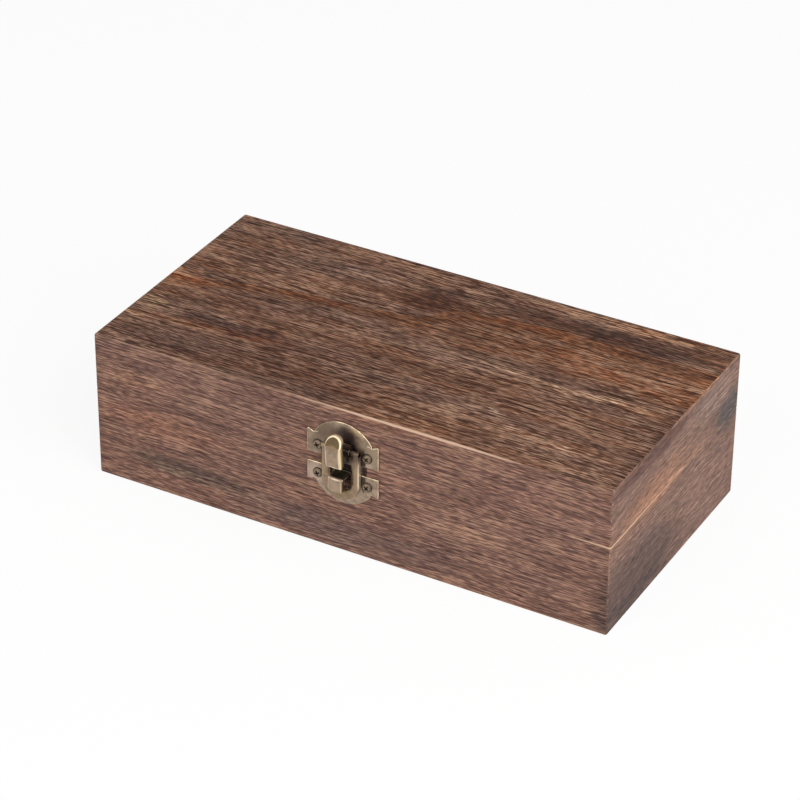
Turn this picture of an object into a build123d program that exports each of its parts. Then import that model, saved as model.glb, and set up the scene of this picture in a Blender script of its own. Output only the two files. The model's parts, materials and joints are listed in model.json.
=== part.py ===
from build123d import *
from math import atan2, cos, degrees, radians, sin
import os

# A small stained-wood box with a hinged lid and a sprung brass latch.
# Millimetres. The origin is the centre of the underside, X runs along the length,
# -Y is the front with the latch, +Z is up.

# Overall sizes
length = 200.0
width = 100.0
height = 57.0
lid_height = 22.0
seam = height - lid_height

# Boards
wall = 7.0
top_thickness = 5.0
bottom_thickness = 4.0
edge_round = 0.8
seam_ease = 0.3

# Back hinges
hinge_x = 60.0
hinge_length = 20.0
leaf_height = 9.0
leaf_thickness = 0.7
leaf_corner = 1.6
knuckle_radius = 1.35
leaf_clearance = 0.15
hinge_pin_radius = 0.6
hinge_pin_end = 0.2
hinge_pin_chamfer = 0.15
running_gap = 0.05
knuckle_half = 3.4
knuckle_gap = 0.1
hinge_axis_y = width / 2 + knuckle_radius + running_gap
hinge_screw_x = 6.2
hinge_screw_z = 5.6

# Latch plates. On the front, heights are measured from the box's underside,
# and depths outwards from the front face of the wood.
plate_thickness = 0.8
plate_half = 13.9
plate_corner = 0.55
lid_plate_bottom = 37.3
lid_plate_crown = 52.1
lid_ear_top = 46.7
lid_notch = (11.3, 45.5)
base_plate_top = 33.6
base_plate_crown = 20.0
base_ear_bottom = 26.0
base_notch = (11.3, 26.8)
crown_bevel = 1.5
crown_bevel_drop = 0.45
crown_bevel_start = 0.3
latch_screw_x = 9.6
lid_screw_z = 41.0
base_screw_z = 29.6

# Latch pin and the lugs that hold it, folded out of a window in the lid plate
pin_height = 42.4
pin_depth = 2.1
latch_pin_radius = 0.5
lug_inner = 3.15
lug_thickness = 0.7
lug_round = 1.2
lug_root = 1.6
window_bottom = pin_height - 1.4
window_top = pin_height + 1.5

# Shallow dish round the window, room for the thumb pad when it is pressed
dish_centre = 45.0
dish_radius = 5.3
dish_floor_radius = 4.1
dish_depth = 0.45

# Spring round the pin. Its legs lean back by these angles from upright.
spring_wire = 0.36
spring_radius = 0.92
spring_half = 2.35
spring_turns = 4
spring_lower_lean = 20.0
spring_upper_lean = 50.0
spring_lower_leg = 2.25
spring_upper_leg = 2.75

# Ring of the hasp
ring_centre = 30.3
ring_outer = 7.3
ring_inner = 4.1
ring_back = 1.1
ring_shoulder = 2.4
ring_crest = 3.0
arm_knuckle_radius = 0.95
arm_bore_gap = 0.06
web_bottom = 37.4
web_top = 40.7
web_thickness = 0.9
web_overlap = 0.2

# Thumb lever
lever_half = 3.1
lever_bottom = 37.7
lever_fold = 46.3
lever_top = 49.9
lever_depth_bottom = 7.0
lever_depth_fold = 7.8
lever_depth_top = 5.7
lever_thickness = 2.0
pad_thickness = 1.5
lever_corner = 0.6
lever_edge = 0.4
foot_half = 2.2
foot_bottom = 38.0
foot_top = 40.6
foot_bite = 0.6
rivet_height = 39.3
rivet_radius = 0.9
rivet_flare = 1.4
rivet_flare_height = 0.5

# Keeper hook of the base plate
keeper_half = 2.9
keeper_bottom = 26.9
keeper_top = 33.1
keeper_depth = 5.9
keeper_sheet = 0.9
keeper_return = 1.3
keeper_corner = 2.2
keeper_bend = 1.0
keeper_slot_gap = 0.2

# Screws, with a cone-shaped head and a buried shank of eight flat sides. The latch's have a cross
# slot, and the small ones at the back have plain heads.
wood_screw = {"head_radius": 1.85, "top_radius": 1.15, "head_height": 0.75, "shank_radius": 0.9,
              "length": 5.4, "point": 1.2, "cross": 1.9, "slot": 0.45, "depth": 0.4}
hinge_screw = {"head_radius": 1.45, "top_radius": 0.9, "head_height": 0.6, "shank_radius": 0.75,
               "length": 5.0, "point": 1.0}
shank_sides = 8
point_radius = 0.1
first_slot_angle = 20
slot_angle_step = 35

# Half the band of heights or depths in which an edge counts as lying on a plane
on_plane = 0.01

front = Plane(origin=(0, -width / 2, 0), x_dir=(1, 0, 0), z_dir=(0, -1, 0)).location
back = Plane(origin=(0, width / 2, 0), x_dir=(-1, 0, 0), z_dir=(0, 1, 0)).location


def block(x0, x1, y0, y1, z0, z1):
    centre = Pos((x0 + x1) / 2, (y0 + y1) / 2, (z0 + z1) / 2)
    return centre * Box(x1 - x0, y1 - y0, z1 - z0)


def prism(points, depth, base=0.0):
    """A flat outline of straight edges, raised from base by depth."""
    return Pos(0, 0, base) * extrude(make_face(Polyline(*points, close=True)), depth)


def bar_along_x(profile, half):
    """A side profile of (height, depth) points, extended to both sides of the centre line."""
    points = [(0, up, out) for up, out in profile]
    face = make_face(Polyline(*points, close=True))
    return extrude(face, half, dir=(1, 0, 0)) + extrude(face, half, dir=(-1, 0, 0))


def rod_along_x(radius, x0, x1, up, out):
    return Pos((x0 + x1) / 2, up, out) * Rot(0, 90, 0) * Cylinder(radius, x1 - x0)


# Boards

def eased_half(z0, z1, outer_z, seam_z):
    """The outside shape of the lid or the base, rounded outside and eased along the seam."""
    body = block(-length / 2, length / 2, -width / 2, width / 2, z0, z1)
    upright = body.edges().filter_by(Axis.Z)
    outer = body.edges().filter_by_position(Axis.Z, outer_z - on_plane, outer_z + on_plane)
    body = fillet(upright + outer, edge_round)
    rim = body.edges().filter_by_position(Axis.Z, seam_z - on_plane, seam_z + on_plane)
    return chamfer(rim, seam_ease)


def mitred_walls(z0, z1, half):
    """Four mitred boards that stand between two heights, cut to the outside shape of the half."""
    x, y = length / 2, width / 2
    outlines = {
        "front": [(-x, -y), (x, -y), (x - wall, wall - y), (wall - x, wall - y)],
        "right": [(x, -y), (x, y), (x - wall, y - wall), (x - wall, wall - y)],
        "back": [(x, y), (-x, y), (wall - x, y - wall), (x - wall, y - wall)],
        "left": [(-x, y), (-x, -y), (wall - x, wall - y), (wall - x, y - wall)],
    }
    return {side: prism(points, z1 - z0, z0) & half for side, points in outlines.items()}


def boards():
    x, y = length / 2, width / 2
    lid = eased_half(seam, height, height, seam)
    base = eased_half(0, seam, 0, seam)
    under_top = height - top_thickness
    made = {}
    for side, board in mitred_walls(seam, under_top, lid).items():
        made["lid_" + side] = board
    made["lid_top"] = block(-x, x, -y, y, under_top, height) & lid
    for side, board in mitred_walls(bottom_thickness, seam, base).items():
        made["base_" + side] = board
    made["base_bottom"] = block(-x, x, -y, y, 0, bottom_thickness) & base
    return made


# Screws

def screw(size):
    """A screw whose head sits on depth zero and whose point is below it."""
    rise = size["head_height"]
    head = Pos(0, 0, rise / 2) * Cone(size["head_radius"], size["top_radius"], rise)
    if "cross" in size:
        for turn in (0, 90):
            head -= Pos(0, 0, rise) * Rot(0, 0, turn) * Box(size["cross"], size["slot"], 2 * size["depth"])
    sides = RegularPolygon(size["shank_radius"], shank_sides)
    straight = size["length"] - size["point"]
    narrowing = degrees(atan2(size["shank_radius"] - point_radius, size["point"]))
    point = Pos(0, 0, -straight) * Rot(180, 0, 0) * extrude(sides, size["point"], taper=narrowing)
    return head + extrude(sides, -straight) + point


def screw_set(size, places, seat, side):
    """Screws standing on a plate of the given thickness, placed on the front or the back."""
    one = screw(size)
    return [side * Pos(x, z, seat) * Rot(0, 0, first_slot_angle + slot_angle_step * i) * one
            for i, (x, z) in enumerate(places)]


def drill(solid, screws):
    for one in screws:
        solid -= one
    return solid


# Back hinges, drawn with X along the hinge, Y up from the seam and Z out of the back

def hinge_leaf(way, knuckles):
    """One leaf. way is +1 for the lid's leaf and -1 for the base's, knuckles are its spans in X."""
    half = hinge_length / 2
    axis_out = knuckle_radius + running_gap
    clear = knuckle_radius + leaf_clearance
    sheet = extrude(Rectangle(hinge_length, leaf_height - clear), leaf_thickness)
    outer = sheet.edges().filter_by(Axis.Z).sort_by(Axis.Y)[-2:]
    sheet = Pos(0, clear + (leaf_height - clear) / 2, 0) * fillet(outer, leaf_corner)
    rolled = None
    for x0, x1 in knuckles:
        barrel = rod_along_x(knuckle_radius, x0, x1, 0, axis_out)
        tongue = block(x0, x1, 0, clear, 0, leaf_thickness)
        piece = barrel + tongue
        rolled = piece if rolled is None else rolled + piece
    leaf = sheet + rolled
    bore = hinge_pin_radius + (running_gap if way > 0 else 0)
    leaf -= rod_along_x(bore, -half, half, 0, axis_out)
    return leaf if way > 0 else mirror(leaf, Plane.XZ)


def hinge_pin():
    end = hinge_length / 2 + hinge_pin_end
    rod = rod_along_x(hinge_pin_radius, -end, end, 0, knuckle_radius + running_gap)
    return chamfer(rod.edges().filter_by(GeomType.CIRCLE), hinge_pin_chamfer)


def hinges():
    """Two hinges on the back, with the screws of their lid leaves and of their base leaves."""
    half = hinge_length / 2
    outer = [(-half, -knuckle_half), (knuckle_half, half)]
    middle = [(knuckle_gap - knuckle_half, knuckle_half - knuckle_gap)]
    leaves = {"lid": hinge_leaf(1, middle), "base": hinge_leaf(-1, outer)}
    made = {}
    screws = {"lid": [], "base": []}
    for name, x in (("left", hinge_x), ("right", -hinge_x)):
        at = back * Pos(x, seam, 0)
        made["hinge_" + name + "_pin"] = at * hinge_pin()
        for part, leaf in leaves.items():
            z = hinge_screw_z if part == "lid" else -hinge_screw_z
            places = [(-hinge_screw_x, z), (hinge_screw_x, z)]
            local = screw_set(hinge_screw, places, leaf_thickness, Pos(0, 0, 0))
            made["hinge_" + name + "_" + part + "_leaf"] = at * drill(leaf, local)
            screws[part] += [at * one for one in local]
    return made, screws


# Latch plates, drawn with X across, Y up from the underside and Z out of the front

def plate_outline(straight, crown, ear, notch):
    """A plate with a straight edge, two ears and a round crown between two small notches."""
    right = [Line((0, straight), (plate_half, straight)), Line((plate_half, straight), (plate_half, ear)),
             Line((plate_half, ear), notch)]
    left = [mirror(edge, Plane.YZ) for edge in right]
    arc = ThreePointArc(notch, (0, crown), (-notch[0], notch[1]))
    face = make_face(right + left + [arc])
    corners = [corner for corner in face.vertices() if abs(corner.X) > notch[0] + 0.5]
    return fillet(corners, plate_corner)


def crown_circle(crown, notch):
    """Radius of the crown's arc and the height of its centre."""
    rise = crown - notch[1]
    radius = (notch[0] ** 2 + rise ** 2) / (2 * abs(rise))
    return radius, crown - radius if rise > 0 else crown + radius


def bevel_crown(plate, crown, notch):
    """Slopes the front edge of the crown, between the two notches."""
    radius, centre = crown_circle(crown, notch)
    top = plate_thickness
    section = make_face(Polyline((radius - crown_bevel, 0, top), (radius, 0, top),
                                 (radius, 0, top - crown_bevel_drop), close=True))
    ring = Pos(0, centre, 0) * revolve(section, Axis.Z)
    side = 1 if crown > notch[1] else -1
    low, high = sorted((notch[1] + side * crown_bevel_start, crown))
    return plate - (ring & block(-notch[0], notch[0], low, high, 0, top))


def dish():
    """A shallow round dish with a sloping rim, pressed into the plate."""
    return Pos(0, dish_centre, plate_thickness - dish_depth / 2) * Cone(
        dish_floor_radius, dish_radius, dish_depth)


def lid_plate():
    outline = plate_outline(lid_plate_bottom, lid_plate_crown, lid_ear_top, lid_notch)
    plate = bevel_crown(extrude(outline, plate_thickness), lid_plate_crown, lid_notch)
    plate -= dish()
    plate -= block(-lug_inner, lug_inner, window_bottom, window_top, -1, plate_thickness + 1)
    lug_side = [(pin_height - lug_root, 0), (pin_height + lug_round, 0),
                (pin_height + lug_round, pin_depth), (pin_height - lug_round, pin_depth),
                (pin_height - lug_root, plate_thickness)]
    for x0 in (-lug_inner - lug_thickness, lug_inner):
        lug = Pos(x0 + lug_thickness / 2, 0, 0) * bar_along_x(lug_side, lug_thickness / 2)
        plate += lug + rod_along_x(lug_round, x0, x0 + lug_thickness, pin_height, pin_depth)
    return plate - rod_along_x(latch_pin_radius, -ring_outer, ring_outer, pin_height, pin_depth)


def keeper():
    """A strip folded out of the base plate, down its front, and back in at the bottom."""
    t = keeper_sheet
    strip = bar_along_x([
        (keeper_top, 0), (keeper_top, keeper_depth), (keeper_bottom, keeper_depth),
        (keeper_bottom, keeper_return), (keeper_bottom + t, keeper_return),
        (keeper_bottom + t, keeper_depth - t), (keeper_top - t, keeper_depth - t),
        (keeper_top - t, 0)], keeper_half)
    outer = strip.edges().filter_by(Axis.X).filter_by_position(
        Axis.Z, keeper_depth - on_plane, keeper_depth + on_plane)
    strip = fillet(outer, keeper_bend)
    face = extrude(Pos(0, (keeper_top + keeper_bottom) / 2, 0)
                   * Rectangle(2 * keeper_half, keeper_top - keeper_bottom), keeper_depth)
    low = face.edges().filter_by(Axis.Z).filter_by_position(
        Axis.Y, keeper_bottom - on_plane, keeper_bottom + on_plane)
    return strip & fillet(low, keeper_corner)


def base_plate():
    outline = plate_outline(base_plate_top, base_plate_crown, base_ear_bottom, base_notch)
    plate = bevel_crown(extrude(outline, plate_thickness), base_plate_crown, base_notch)
    side = keeper_half + keeper_slot_gap
    slot = block(-side, side, keeper_bottom, keeper_top - keeper_sheet, -1, plate_thickness + 1)
    return plate - slot + keeper()


# Moving pieces of the latch

def rim_section(inner, outer):
    """The rim's cross-section in X and depth, flat behind and rounded in front."""
    middle = (inner + outer) / 2
    return make_face([
        Line((inner, 0, ring_shoulder), (inner, 0, ring_back)),
        Line((inner, 0, ring_back), (outer, 0, ring_back)),
        Line((outer, 0, ring_back), (outer, 0, ring_shoulder)),
        ThreePointArc((outer, 0, ring_shoulder), (middle, 0, ring_crest), (inner, 0, ring_shoulder)),
    ])


def hasp_frame():
    section = rim_section(ring_inner, ring_outer)
    arm = extrude(section, pin_height - ring_centre, dir=(0, 1, 0))
    knuckle = rod_along_x(arm_knuckle_radius, ring_inner, ring_outer, pin_height, pin_depth)
    arm = Pos(0, ring_centre, 0) * arm + knuckle
    bend = Pos(0, ring_centre, 0) * revolve(section, Axis.Z, revolution_arc=-180)
    side = ring_inner + web_overlap
    web = block(-side, side, web_bottom, web_top, ring_back, ring_back + web_thickness)
    frame = bend + arm + mirror(arm, Plane.YZ) + web
    bore = latch_pin_radius + arm_bore_gap
    return frame - rod_along_x(bore, -ring_outer, ring_outer, pin_height, pin_depth) - lever_rivet()


def thumb_lever():
    """A tall lever with a half-round pad that leans back above the fold, on a narrow foot."""
    solid = bar_along_x([
        (lever_bottom, lever_depth_bottom), (lever_fold, lever_depth_fold),
        (lever_top, lever_depth_top), (lever_top, lever_depth_top - pad_thickness),
        (lever_fold, lever_depth_fold - lever_thickness),
        (lever_bottom, lever_depth_bottom - lever_thickness)], lever_half)
    shoulder = lever_top - lever_half
    face = Pos(0, (lever_bottom + shoulder) / 2) * Rectangle(2 * lever_half, shoulder - lever_bottom)
    face += Pos(0, shoulder) * Circle(lever_half)
    solid &= extrude(fillet(face.vertices().sort_by(Axis.Y)[:2], lever_corner), lever_depth_fold)
    rim = solid.faces().sort_by(Axis.Z)[-2:]
    solid = fillet(rim[0].edges() + rim[1].edges(), lever_edge)
    foot_start = ring_back + web_thickness
    foot_end = lever_depth_bottom - lever_thickness + foot_bite
    foot = bar_along_x([(foot_bottom, foot_start), (foot_top, foot_start), (foot_top, foot_end),
                        (foot_bottom, foot_end)], foot_half)
    return solid + foot - lever_rivet()


def lever_rivet():
    start, end = ring_back, lever_depth_bottom - lever_thickness
    shank = Pos(0, rivet_height, (start + end) / 2) * Cylinder(rivet_radius, end - start)
    flare = Pos(0, rivet_height, start + rivet_flare_height / 2) * Cone(
        rivet_flare, rivet_radius, rivet_flare_height)
    return shank + flare


def latch_spring():
    """A coil on the pin. Its upper leg bears on the dish and its lower leg on the ring's web."""
    lean = radians(spring_lower_lean)
    turns = spring_turns + (spring_lower_lean + spring_upper_lean) / 360
    at = Plane(origin=(spring_half, pin_height, pin_depth), x_dir=(0, -sin(lean), cos(lean)),
               z_dir=(-1, 0, 0)).location
    coil = at * Helix(2 * spring_half / turns, 2 * spring_half, spring_radius)
    start, end = coil @ 0, coil @ 1
    into, away = coil % 0, coil % 1
    lower, upper = start - into * spring_lower_leg, end + away * spring_upper_leg
    path = Wire([Line(lower, start), coil, Line(end, upper)])
    print("least gap between the spring's turns, mm:", round(least_gap(coil, turns), 2))
    section = Plane(origin=path @ 0, z_dir=path % 0) * RegularPolygon(spring_wire / 2, 6)
    return sweep(section, path)


def least_gap(coil, turns, steps=24):
    """The smallest clear distance between one turn of the coil and the next, on points."""
    points = [coil @ (i / (turns * steps)) for i in range(int(turns * steps))]
    apart = [(a - b).length for i, a in enumerate(points) for b in points[i + steps // 2:]]
    return min(apart) - spring_wire


def latch():
    """All pieces of the latch, with the screws of the lid plate and of the base plate."""
    sets = {}
    for part, z in (("lid", lid_screw_z), ("base", base_screw_z)):
        places = [(-latch_screw_x, z), (latch_screw_x, z)]
        sets[part] = screw_set(wood_screw, places, plate_thickness, Pos(0, 0, 0))
    local = {
        "latch_lid_plate": drill(lid_plate(), sets["lid"]),
        "latch_base_plate": drill(base_plate(), sets["base"]),
        "hasp_frame": hasp_frame(),
        "thumb_lever": thumb_lever(),
        "lever_rivet": lever_rivet(),
        "latch_pin": rod_along_x(latch_pin_radius, -ring_outer, ring_outer, pin_height, pin_depth),
        "latch_spring": latch_spring(),
    }
    screws = {part: [front * one for one in group] for part, group in sets.items()}
    return {name: front * solid for name, solid in local.items()}, screws


def box():
    nodes = boards()
    hinge_nodes, hinge_screws = hinges()
    latch_nodes, latch_screws = latch()
    for part in ("lid", "base"):
        nodes[part + "_back"] = drill(nodes[part + "_back"], hinge_screws[part])
        nodes[part + "_front"] = drill(nodes[part + "_front"], latch_screws[part])
        nodes["hinge_" + part + "_screws"] = Compound(children=hinge_screws[part])
        nodes["latch_" + part + "_screws"] = Compound(children=latch_screws[part])
    return {**nodes, **hinge_nodes, **latch_nodes}


os.makedirs("parts", exist_ok=True)
for node, shape in box().items():
    export_step(shape, "parts/" + node + ".step")
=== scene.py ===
import json
import math
import bpy
import bmesh
from mathutils import Matrix, Vector


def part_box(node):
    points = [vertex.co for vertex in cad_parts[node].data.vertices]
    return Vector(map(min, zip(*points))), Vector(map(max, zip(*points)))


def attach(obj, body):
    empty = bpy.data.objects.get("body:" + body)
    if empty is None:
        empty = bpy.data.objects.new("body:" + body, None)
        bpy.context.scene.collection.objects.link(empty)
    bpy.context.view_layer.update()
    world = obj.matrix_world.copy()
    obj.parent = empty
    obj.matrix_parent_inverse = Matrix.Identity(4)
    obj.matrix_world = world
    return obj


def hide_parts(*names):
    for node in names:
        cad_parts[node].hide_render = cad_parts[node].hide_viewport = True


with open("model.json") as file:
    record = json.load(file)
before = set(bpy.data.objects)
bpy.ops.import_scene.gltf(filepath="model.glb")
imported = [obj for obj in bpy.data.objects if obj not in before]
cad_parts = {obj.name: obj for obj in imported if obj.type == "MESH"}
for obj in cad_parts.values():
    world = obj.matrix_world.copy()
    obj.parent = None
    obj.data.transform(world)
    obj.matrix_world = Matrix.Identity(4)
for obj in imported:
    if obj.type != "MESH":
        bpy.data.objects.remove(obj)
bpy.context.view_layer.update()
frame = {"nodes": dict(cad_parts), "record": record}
cadNodes = frame["nodes"]
print("frame loaded,", len(cadNodes), "pieces")

mm = 0.001
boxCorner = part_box("lid_top")[1]  # the highest corner: half the length, half the width and the full height


# Node helpers. A term is a socket or a plain value.

def feed(tree, socket, term):
    if isinstance(term, bpy.types.NodeSocket):
        tree.links.new(term, socket)
    else:
        socket.default_value = term


def addNode(tree, kind, terms=None, **settings):
    node = tree.nodes.new("ShaderNode" + kind)
    for name, value in settings.items():
        setattr(node, name, value)
    for name, term in (terms or {}).items():
        feed(tree, node.inputs[name], term)
    return node


def calc(tree, operation, *terms, clamp=False):
    return addNode(tree, "Math", dict(enumerate(terms)), operation=operation, use_clamp=clamp).outputs[0]


def times(tree, first, second, clamp=False):
    return calc(tree, "MULTIPLY", first, second, clamp=clamp)


def fade(tree, value, start, end, low=0.0, high=1.0):
    # Runs smoothly from low to high while the value runs from start to end
    terms = {"Value": value, "From Min": start, "From Max": end, "To Min": low, "To Max": high}
    return addNode(tree, "MapRange", terms, interpolation_type="SMOOTHSTEP").outputs[0]


def tint(tree, amount, under, over, mode="MIX"):
    node = addNode(tree, "Mix", {0: amount, 6: under, 7: over}, data_type="RGBA", blend_type=mode)
    return node.outputs[2]


def placed(tree, vector, size=(1, 1, 1), shift=(0, 0, 0)):
    # A pattern's own coordinates: shifted, then counted in units of its size
    scale = [1 / s for s in size]
    moved = [s * k for s, k in zip(shift, scale)]
    return addNode(tree, "Mapping", {"Vector": vector, "Scale": scale, "Location": moved}).outputs[0]


def grainNoise(tree, vector, size, detail=2.0, rough=0.5, warp=0.0, shift=(0, 0, 0)):
    terms = {"Vector": placed(tree, vector, size, shift), "Scale": 1.0, "Detail": detail,
             "Roughness": rough, "Distortion": warp}
    return addNode(tree, "TexNoise", terms).outputs["Fac"]


def ellipsoid(tree, vector, centre, size, inner=0.35):
    # 1 near the centre, falling to 0 at the ellipsoid's skin
    away = placed(tree, vector, size, [-c for c in centre])
    far = addNode(tree, "VectorMath", {0: away}, operation="LENGTH").outputs["Value"]
    return fade(tree, far, 1.0, inner)


def split(tree, vector):
    return addNode(tree, "SeparateXYZ", {0: vector}).outputs


def scaled(tree, vector, by):
    return addNode(tree, "VectorMath", {0: vector, "Scale": by}, operation="SCALE").outputs[0]


def surface(tree):
    # The surface's place in mm in the box's own frame, and the three parts of its normal
    coordinate = addNode(tree, "TexCoord").outputs
    return scaled(tree, coordinate["Object"], 1 / mm), split(tree, coordinate["Normal"])


def swayed(tree, spot, size, reach, detail, along=None):
    # The place pushed about by a noise, by up to half of reach each way
    vector = placed(tree, spot if along is None else along, size)
    noise = addNode(tree, "TexNoise", {"Vector": vector, "Scale": 1.0, "Detail": detail}).outputs["Color"]
    centred = addNode(tree, "VectorMath", {0: noise, 1: (0.5, 0.5, 0.5)}, operation="SUBTRACT").outputs[0]
    push = addNode(tree, "VectorMath", {0: centred, 1: reach}, operation="MULTIPLY").outputs[0]
    return addNode(tree, "VectorMath", {0: spot, 1: push}, operation="ADD").outputs[0]


def newGroup(name, inputs, outputs):
    tree = bpy.data.node_groups.new(name, "ShaderNodeTree")
    for kind, label, value in inputs:
        socket = tree.interface.new_socket(label, in_out="INPUT", socket_type="NodeSocket" + kind)
        if value is not None:
            socket.default_value = value
    for kind, label in outputs:
        tree.interface.new_socket(label, in_out="OUTPUT", socket_type="NodeSocket" + kind)
    taken = tree.nodes.new("NodeGroupInput").outputs
    given = tree.nodes.new("NodeGroupOutput").inputs
    return tree, taken, given


def callGroup(tree, group, **terms):
    node = tree.nodes.new("ShaderNodeGroup")
    node.node_tree = group
    for name, term in terms.items():
        feed(tree, node.inputs[name], term)
    return node.outputs


def newMaterial(name):
    material = bpy.data.materials.new(name)
    material.use_nodes = True
    tree = material.node_tree
    return material, tree, tree.nodes["Principled BSDF"]


# Stained wood

wood = {
    "dark": (0.040, 0.017, 0.010, 1), "mid": (0.122, 0.0530, 0.0342, 1), "light": (0.372, 0.208, 0.145, 1),
    "streak": (0.60, 0.355, 0.233, 1), "streakShare": 0.85,
    "pore": (0.016, 0.008, 0.006, 1), "poreShare": 0.55,
    "rubbed": (0.60, 0.41, 0.30, 1), "rubbedShare": 0.15, "rubbedWidth": 0.8,
    "rough": 0.70, "gloss": 0.14, "bump": 0.5, "bumpDepth": 0.06 * mm,
}
# Colours that the stain is multiplied by, in the lid's own figure and in its drift along the grain
stainTones = {
    "warm": (1.45, 1.08, 0.62, 1), "warmShare": 0.90, "violet": (0.50, 0.46, 0.52, 1), "violetShare": 0.70,
    "warmer": (1.18, 0.98, 0.76, 1), "cooler": (0.88, 0.92, 1.02, 1),
}
# Colours that are added on the long sides and on the ends as a painted sheen: the pale haze of glare there
paintedSheen = {"side": (0.079, 0.0485, 0.0465, 1), "end": (0.135, 0.098, 0.086, 1)}
# Sizes in mm of the marks in the grain: along it, across it on level faces, across it on upright faces
grainSize = {
    "speck": (2.8, 0.46, 0.36), "pores": (5, 0.46, 0.36), "hairs": (8, 0.48, 0.38), "fibre": (16, 0.54, 0.42),
    "lines": (34, 0.60, 0.46), "rings": (70, 1.5, 1.2), "cloud": (50, 10, 10), "patches": (26, 7, 7),
    "sway": (60, 16, 16), "drift": (60, 13, 13), "patchSway": (22, 4, 4),
}


def makeOpenGrain():
    # Place is in mm with X along the grain. Streaks is how many light fibres show, Hatch how much short grain
    # and Cloud how much the tone wanders.
    tree, taken, given = newGroup(
        "openGrain", [("Vector", "Place", None), ("Float", "Streaks", 1.0), ("Float", "Hatch", 1.0),
                      ("Float", "Cloud", 1.0)],
        [("Float", "Tone"), ("Float", "Streak"), ("Float", "Pore"), ("Float", "Height")])
    bent = swayed(tree, taken["Place"], grainSize["sway"], (6.0, 3.4, 3.4), 1.0)
    speck = grainNoise(tree, bent, grainSize["speck"], 0.0)
    hairs = grainNoise(tree, bent, grainSize["hairs"], 0.0, shift=(31, 5, 12))
    fibre = grainNoise(tree, bent, grainSize["fibre"], 0.0, shift=(7, 1, 3))
    rings = grainNoise(tree, bent, grainSize["rings"], 2.0, 0.6, shift=(23, 4, 6))
    cloud = grainNoise(tree, bent, grainSize["cloud"], 3.0, 0.55, shift=(11, 3, 5))
    lines = grainNoise(tree, bent, grainSize["lines"], 0.0, shift=(17, 2, 9))
    pores = grainNoise(tree, bent, grainSize["pores"], 0.0, shift=(5, 19, 1))
    patches = grainNoise(tree, bent, grainSize["patches"], 1.0, 0.5, shift=(41, 8, 3))
    broad = times(tree, calc(tree, "SUBTRACT", cloud, 0.5), 0.40)
    broad = calc(tree, "MULTIPLY_ADD", calc(tree, "SUBTRACT", rings, 0.5), 0.40, broad)
    tone = calc(tree, "MULTIPLY_ADD", broad, taken["Cloud"], 0.362)
    short = times(tree, calc(tree, "SUBTRACT", speck, 0.5), 1.3)
    short = calc(tree, "MULTIPLY_ADD", calc(tree, "SUBTRACT", fibre, 0.5), 1.2, short)
    tone = calc(tree, "MULTIPLY_ADD", short, taken["Hatch"], tone)
    broken = fade(tree, speck, 0.38, 0.60, 0.4, 1.0)
    dashes = times(tree, fade(tree, hairs, 0.50, 0.68), taken["Hatch"])
    threads = fade(tree, lines, 0.53, 0.67)
    often = times(tree, fade(tree, patches, 0.30, 0.66, 0.4, 1.0), taken["Streaks"])
    streak = times(tree, times(tree, calc(tree, "MAXIMUM", dashes, threads), broken), often, clamp=True)
    pore = times(tree, fade(tree, pores, 0.42, 0.28), taken["Hatch"])
    feed(tree, given["Tone"], tone)
    feed(tree, given["Streak"], streak)
    feed(tree, given["Pore"], pore)
    raised = calc(tree, "MULTIPLY_ADD", streak, 0.5, times(tree, fibre, 0.8))
    feed(tree, given["Height"], calc(tree, "SUBTRACT", raised, pore))
    return tree


def makeRubbedEdges():
    # Place is in mm in the box's own frame. The output is 1 where the stain is rubbed off the box's edges.
    tree, taken, given = newGroup("rubbedEdges", [("Vector", "Place", None), ("Float", "Width", 0.8)],
                                  [("Float", "Rubbed")])
    x, y, z = split(tree, taken["Place"])
    fromEnd = calc(tree, "SUBTRACT", boxCorner.x / mm, calc(tree, "ABSOLUTE", x))
    fromSide = calc(tree, "SUBTRACT", boxCorner.y / mm, calc(tree, "ABSOLUTE", y))
    fromTop = calc(tree, "MINIMUM", calc(tree, "SUBTRACT", boxCorner.z / mm, z), z)
    least = calc(tree, "MINIMUM", fromEnd, fromSide)
    most = calc(tree, "MAXIMUM", fromEnd, fromSide)
    fromEdge = calc(tree, "MAXIMUM", least, calc(tree, "MINIMUM", most, fromTop))
    patchy = grainNoise(tree, taken["Place"], (16, 16, 16), 2.0, 0.6, shift=(9, 2, 4))
    crumbs = grainNoise(tree, taken["Place"], (2.2, 2.2, 1.2), 2.0, 0.6)
    reach = times(tree, taken["Width"], fade(tree, patchy, 0.34, 0.66, 0.25, 1.15))
    reach = times(tree, reach, fade(tree, crumbs, 0.30, 0.70, 0.55, 1.35))
    outer = fade(tree, calc(tree, "DIVIDE", fromEdge, reach), 1.0, 0.2)
    feed(tree, given["Rubbed"], times(tree, outer, fade(tree, patchy, 0.35, 0.62)))
    return tree


# The lid's figure in mm from its left and back edges: the back edge of a warm band, and a thin warm line
topBand = [(0, 50), (10, 49), (20, 46), (40, 42), (75, 37), (93, 33.5), (100, 27), (108, 22), (125, 19),
           (200, 18)]
lowerLine = [(0, 80), (20, 77), (80, 73), (120, 69), (160, 65), (200, 60)]


def bandPath(tree, along, length, width, marks):
    # How far from the back edge, in mm, the line through the marks runs
    path = addNode(tree, "FloatCurve", {"Value": along})
    curve = path.mapping.curves[0]
    points = [(u / length, v / width) for u, v in marks]
    for spot, point in zip(curve.points, (points[0], points[-1])):
        spot.location = point
    for point in points[1:-1]:
        curve.points.new(*point)
    path.mapping.update()
    return times(tree, path.outputs[0], width)


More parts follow.
